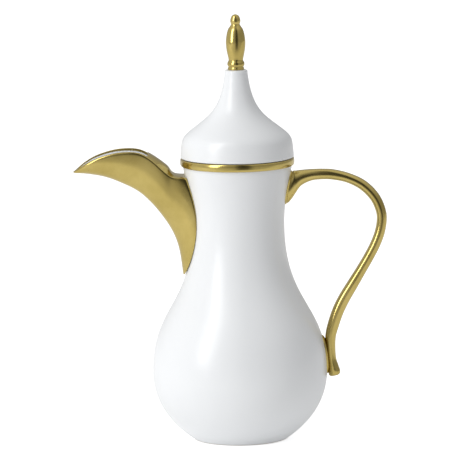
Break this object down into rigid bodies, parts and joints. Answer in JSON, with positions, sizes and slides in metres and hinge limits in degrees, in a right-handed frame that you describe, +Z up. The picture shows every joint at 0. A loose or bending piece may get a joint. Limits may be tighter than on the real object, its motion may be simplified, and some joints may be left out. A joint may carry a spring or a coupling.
{
  "type": "dallah coffee pot",
  "caption": "Tall pear-shaped china coffee pot with a beaked pouring spout, a looped handle, a gold rim bead and a lift-off onion-shaped lid with a turned finial.",
  "frame": {"origin": "centre of the foot ring, on the surface the pot stands on", "axes": "+Z up along the axis of the pot, -X towards the spout, +X towards the handle, so the XZ plane is the plane of symmetry"},
  "size_m": [0.2197, 0.1228, 0.3003],
  "materials": {
    "white_glaze": "gloss",
    "gilding": "satin"
  },
  "bodies": {
    "pot": {"pot_foot": "white_glaze", "pot_body": "white_glaze", "pot_neck": "white_glaze", "rim_band": "gilding", "spout": "gilding", "handle": "gilding", "handle_upper_pad": "gilding", "handle_lower_pad": "gilding"},
    "lid": {"lid_shell": "white_glaze", "lid_flange": "white_glaze", "finial": "gilding"}
  },
  "joints": [
    {"name": "lid_lift", "type": "slide", "parent": "pot", "child": "lid", "axis": [0, 0, 1], "range_m": [0, 0.06]}
  ]
}
